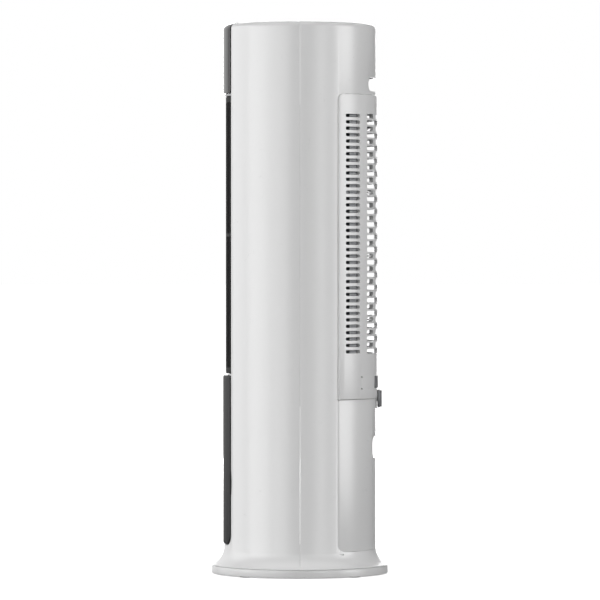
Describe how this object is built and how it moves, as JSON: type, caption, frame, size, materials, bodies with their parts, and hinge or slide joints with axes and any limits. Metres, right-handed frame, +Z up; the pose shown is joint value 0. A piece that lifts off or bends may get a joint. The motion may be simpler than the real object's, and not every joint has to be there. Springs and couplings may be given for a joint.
{
  "type": "ceramic tower space heater",
  "caption": "Free-standing tower heater with a round swinging base, curved front outlet grille, pull-off rear filter cover, finned ceramic element and an upright cross-flow fan.",
  "frame": {"origin": "centre of the round base on the floor, under the tower's upright axis", "axes": "+Z up along the tower; the air outlet and display face -Y; the filter cover and the mains inlet face +Y; +X is to the right seen from the rear cover's side"},
  "size_m": [0.193, 0.193, 0.6],
  "materials": {
    "white_plastic": "fine satin moulded",
    "ballast_steel": "zinc plated",
    "dark_plastic": "moulded",
    "rubber_foot": "matt",
    "slip_plastic": "smooth low-friction",
    "gear_plastic": "moulded",
    "bright_steel": "zinc plated",
    "display_gloss": "high gloss tinted",
    "circuit_board": "solder mask",
    "grey_trim": "satin",
    "black_plastic": "satin",
    "charcoal_plastic": "satin",
    "grey_plastic": "moulded",
    "filter_net": "woven nylon net",
    "knob_plastic": "satin",
    "fan_plastic": "moulded",
    "motor_steel": "pressed and plated",
    "bearing_bronze": "sintered",
    "heatproof_plastic": "moulded, heat proof",
    "fin_aluminium": "bare fins",
    "relay_case": "moulded",
    "filter_case": "moulded"
  },
  "bodies": {
    "base": {"base_disc": "white_plastic", "base_weight": "ballast_steel", "base_cover": "dark_plastic", "foot_1": "rubber_foot", "foot_2": "rubber_foot", "foot_3": "rubber_foot", "foot_4": "rubber_foot", "slip_ring": "slip_plastic", "sun_gear": "gear_plastic", "gear_cap": "bright_steel", "cap_screw_1": "bright_steel", "cap_screw_2": "bright_steel", "cap_screw_3": "bright_steel"},
    "tower": {"tower_floor": "dark_plastic", "front_shell": "white_plastic", "rear_shell": "white_plastic", "top_screw": "bright_steel", "top_cap": "white_plastic", "display_panel": "display_gloss", "display_board": "circuit_board", "display_trim": "grey_trim", "outlet_grille": "black_plastic", "lower_front_panel": "charcoal_plastic", "intake_frame": "grey_plastic", "handle_cup": "white_plastic", "lower_rear_cover": "white_plastic", "inlet_socket": "black_plastic", "inlet_pin_1": "bright_steel", "inlet_pin_2": "bright_steel", "inlet_pin_3": "bright_steel", "inlet_screw_1": "bright_steel", "inlet_screw_2": "bright_steel", "fan_motor": "motor_steel", "top_bearing": "bearing_bronze", "air_duct": "grey_plastic", "heater_frame": "heatproof_plastic", "ceramic_core_1": "fin_aluminium", "ceramic_core_2": "fin_aluminium", "thermal_cutout": "motor_steel", "power_board": "circuit_board", "power_relay_1": "relay_case", "power_relay_2": "relay_case", "mains_filter": "filter_case", "tip_switch": "black_plastic", "swing_motor": "motor_steel"},
    "pinion": {"drive_pinion": "gear_plastic"},
    "fan": {"fan_wheel": "fan_plastic", "fan_shaft": "bright_steel", "fan_stub": "bright_steel"},
    "filter_cover": {"filter_cover": "white_plastic", "finger_plate": "grey_trim", "filter_frame": "dark_plastic", "filter_mesh": "filter_net"},
    "latch": {"latch_knob": "knob_plastic"}
  },
  "joints": [
    {"name": "tower_swing", "type": "hinge", "parent": "base", "child": "tower", "pos_m": [0, 0, 0.0127], "axis": [0, 0, 1], "range_deg": [-35, 35]},
    {"name": "pinion_spin", "type": "hinge", "parent": "tower", "child": "pinion", "pos_m": [0, 0.045, 0.023], "axis": [0, 0, 1], "range_deg": [-140, 140]},
    {"name": "fan_spin", "type": "hinge", "parent": "tower", "child": "fan", "pos_m": [0, 0.008, 0.369], "axis": [0, 0, 1], "continuous": true},
    {"name": "filter_cover_pull", "type": "slide", "parent": "tower", "child": "filter_cover", "axis": [0, 1, 0], "range_m": [0, 0.06]},
    {"name": "latch_turn", "type": "hinge", "parent": "filter_cover", "child": "latch", "pos_m": [0, 0.0852, 0.1915], "axis": [0, 1, 0], "range_deg": [0, 90]}
  ],
  "couplings": [
    {"joint": "pinion_spin", "follows": "tower_swing", "ratio": 4}
  ]
}
